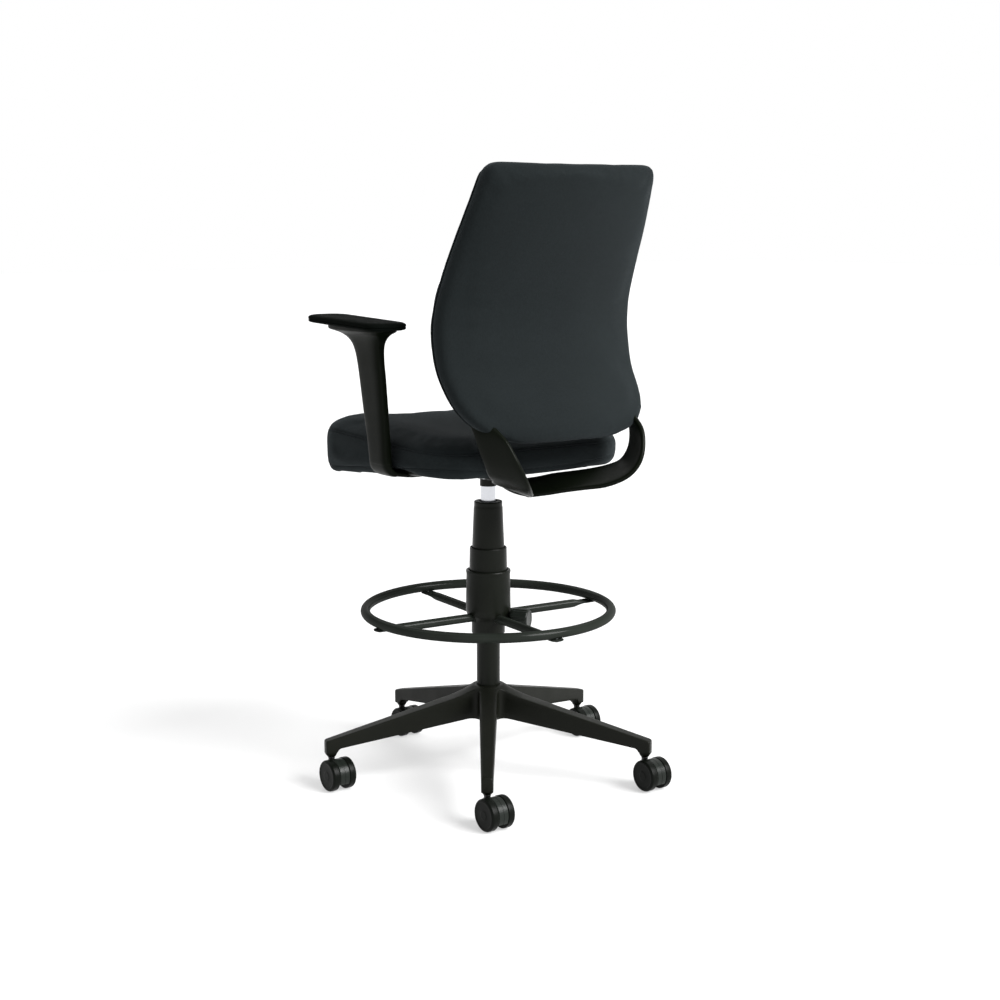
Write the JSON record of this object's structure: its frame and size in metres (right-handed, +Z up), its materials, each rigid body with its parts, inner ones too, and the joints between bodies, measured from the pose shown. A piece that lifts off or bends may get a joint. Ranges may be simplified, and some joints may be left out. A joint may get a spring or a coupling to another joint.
{
  "type": "drafting chair",
  "caption": "Tall swivel task chair with an upholstered seat and curved back on a forked yoke, fixed T-arms, a foot ring on the column and a star base on twin-wheel casters.",
  "frame": {"origin": "middle of the plan outline on the floor; the column axis stands 9.5 mm behind it", "axes": "+Z up, chair front towards -Y, the sitter's left towards +X"},
  "size_m": [0.6306, 0.615, 1.134],
  "materials": {
    "fabric": "dark charcoal woven upholstery, matt",
    "plastic": "black moulded nylon, satin with a fine grain",
    "caster": "black moulded nylon, smooth satin",
    "nylon": "grey turned nylon",
    "enamel": "black semi-gloss powder coat on steel tube",
    "chrome": "polished",
    "steel": "zinc plated"
  },
  "bodies": {
    "base": {"base_star": "plastic", "column_tube": "plastic", "guide_bush": "nylon", "thrust_bearing": "steel", "cover_upper": "plastic", "cover_middle": "plastic"},
    "lift_rod": {"piston_rod": "steel", "retaining_clip": "steel"},
    "seat": {"gas_cylinder": "chrome", "mech_housing": "plastic", "yoke_pin": "steel", "seat_pan": "plastic", "seat_cushion": "fabric", "arm_support_left": "plastic", "arm_support_right": "plastic", "arm_pad_left": "plastic", "arm_pad_right": "plastic"},
    "back": {"yoke": "plastic", "back_cushion": "fabric"},
    "lever": {"height_lever": "plastic"},
    "foot_rest": {"ring_hub": "plastic", "foot_ring": "enamel", "ring_spoke_1": "enamel", "ring_spoke_2": "enamel", "ring_spoke_3": "enamel", "ring_spoke_4": "enamel", "ring_screw_1": "steel", "ring_screw_2": "steel", "ring_screw_3": "steel", "ring_screw_4": "steel"},
    "knob": {"clamp_knob": "plastic", "clamp_stud": "steel"},
    "caster_1": {"caster_1_stem": "steel", "caster_1_hood": "caster", "caster_1_axle": "steel"},
    "wheel_1_left": {"caster_1_wheel_left": "caster"},
    "wheel_1_right": {"caster_1_wheel_right": "caster"},
    "caster_2": {"caster_2_stem": "steel", "caster_2_hood": "caster", "caster_2_axle": "steel"},
    "wheel_2_left": {"caster_2_wheel_left": "caster"},
    "wheel_2_right": {"caster_2_wheel_right": "caster"},
    "caster_3": {"caster_3_stem": "steel", "caster_3_hood": "caster", "caster_3_axle": "steel"},
    "wheel_3_left": {"caster_3_wheel_left": "caster"},
    "wheel_3_right": {"caster_3_wheel_right": "caster"},
    "caster_4": {"caster_4_stem": "steel", "caster_4_hood": "caster", "caster_4_axle": "steel"},
    "wheel_4_left": {"caster_4_wheel_left": "caster"},
    "wheel_4_right": {"caster_4_wheel_right": "caster"},
    "caster_5": {"caster_5_stem": "steel", "caster_5_hood": "caster", "caster_5_axle": "steel"},
    "wheel_5_left": {"caster_5_wheel_left": "caster"},
    "wheel_5_right": {"caster_5_wheel_right": "caster"}
  },
  "joints": [
    {"name": "seat_swivel", "type": "hinge", "parent": "base", "child": "lift_rod", "pos_m": [0, 0.0095, 0.1], "axis": [0, 0, 1], "continuous": true},
    {"name": "seat_height", "type": "slide", "parent": "lift_rod", "child": "seat", "axis": [0, 0, 1], "range_m": [-0.015, 0.235]},
    {"name": "back_recline", "type": "hinge", "parent": "seat", "child": "back", "pos_m": [0, 0.0475, 0.5755], "axis": [-1, 0, 0], "range_deg": [0, 16], "stiffness_Nm_per_rad": 60, "springref_deg": -22.92},
    {"name": "lever_lift", "type": "hinge", "parent": "seat", "child": "lever", "pos_m": [-0.06, -0.0425, 0.5765], "axis": [-1, 0, 0], "range_deg": [0, 15], "stiffness_Nm_per_rad": 0.3, "springref_deg": -11.46},
    {"name": "footring_height", "type": "slide", "parent": "base", "child": "foot_rest", "axis": [0, 0, 1], "range_m": [-0.095, 0.012]},
    {"name": "knob_turn", "type": "hinge", "parent": "foot_rest", "child": "knob", "pos_m": [0, 0.0095, 0.301], "axis": [-0.5878, 0.809, 0], "range_deg": [0, 360]},
    {"name": "caster_1_swivel", "type": "hinge", "parent": "base", "child": "caster_1", "pos_m": [0, -0.2964, 0.07], "axis": [0, 0, 1], "continuous": true},
    {"name": "wheel_1_left_roll", "type": "hinge", "parent": "caster_1", "child": "wheel_1_left", "pos_m": [0, -0.2744, 0.029], "axis": [1, 0, 0], "continuous": true},
    {"name": "wheel_1_right_roll", "type": "hinge", "parent": "caster_1", "child": "wheel_1_right", "pos_m": [0, -0.2744, 0.029], "axis": [1, 0, 0], "continuous": true},
    {"name": "caster_2_swivel", "type": "hinge", "parent": "base", "child": "caster_2", "pos_m": [0.29093, -0.08503, 0.07], "axis": [0, 0, 1], "continuous": true},
    {"name": "wheel_2_left_roll", "type": "hinge", "parent": "caster_2", "child": "wheel_2_left", "pos_m": [0.29093, -0.06303, 0.029], "axis": [1, 0, 0], "continuous": true},
    {"name": "wheel_2_right_roll", "type": "hinge", "parent": "caster_2", "child": "wheel_2_right", "pos_m": [0.29093, -0.06303, 0.029], "axis": [1, 0, 0], "continuous": true},
    {"name": "caster_3_swivel", "type": "hinge", "parent": "base", "child": "caster_3", "pos_m": [0.1798, 0.25698, 0.07], "axis": [0, 0, 1], "continuous": true},
    {"name": "wheel_3_left_roll", "type": "hinge", "parent": "caster_3", "child": "wheel_3_left", "pos_m": [0.1798, 0.27898, 0.029], "axis": [1, 0, 0], "continuous": true},
    {"name": "wheel_3_right_roll", "type": "hinge", "parent": "caster_3", "child": "wheel_3_right", "pos_m": [0.1798, 0.27898, 0.029], "axis": [1, 0, 0], "continuous": true},
    {"name": "caster_4_swivel", "type": "hinge", "parent": "base", "child": "caster_4", "pos_m": [-0.1798, 0.25698, 0.07], "axis": [0, 0, 1], "continuous": true},
    {"name": "wheel_4_left_roll", "type": "hinge", "parent": "caster_4", "child": "wheel_4_left", "pos_m": [-0.1798, 0.27898, 0.029], "axis": [1, 0, 0], "continuous": true},
    {"name": "wheel_4_right_roll", "type": "hinge", "parent": "caster_4", "child": "wheel_4_right", "pos_m": [-0.1798, 0.27898, 0.029], "axis": [1, 0, 0], "continuous": true},
    {"name": "caster_5_swivel", "type": "hinge", "parent": "base", "child": "caster_5", "pos_m": [-0.29093, -0.08503, 0.07], "axis": [0, 0, 1], "continuous": true},
    {"name": "wheel_5_left_roll", "type": "hinge", "parent": "caster_5", "child": "wheel_5_left", "pos_m": [-0.29093, -0.06303, 0.029], "axis": [1, 0, 0], "continuous": true},
    {"name": "wheel_5_right_roll", "type": "hinge", "parent": "caster_5", "child": "wheel_5_right", "pos_m": [-0.29093, -0.06303, 0.029], "axis": [1, 0, 0], "continuous": true}
  ]
}
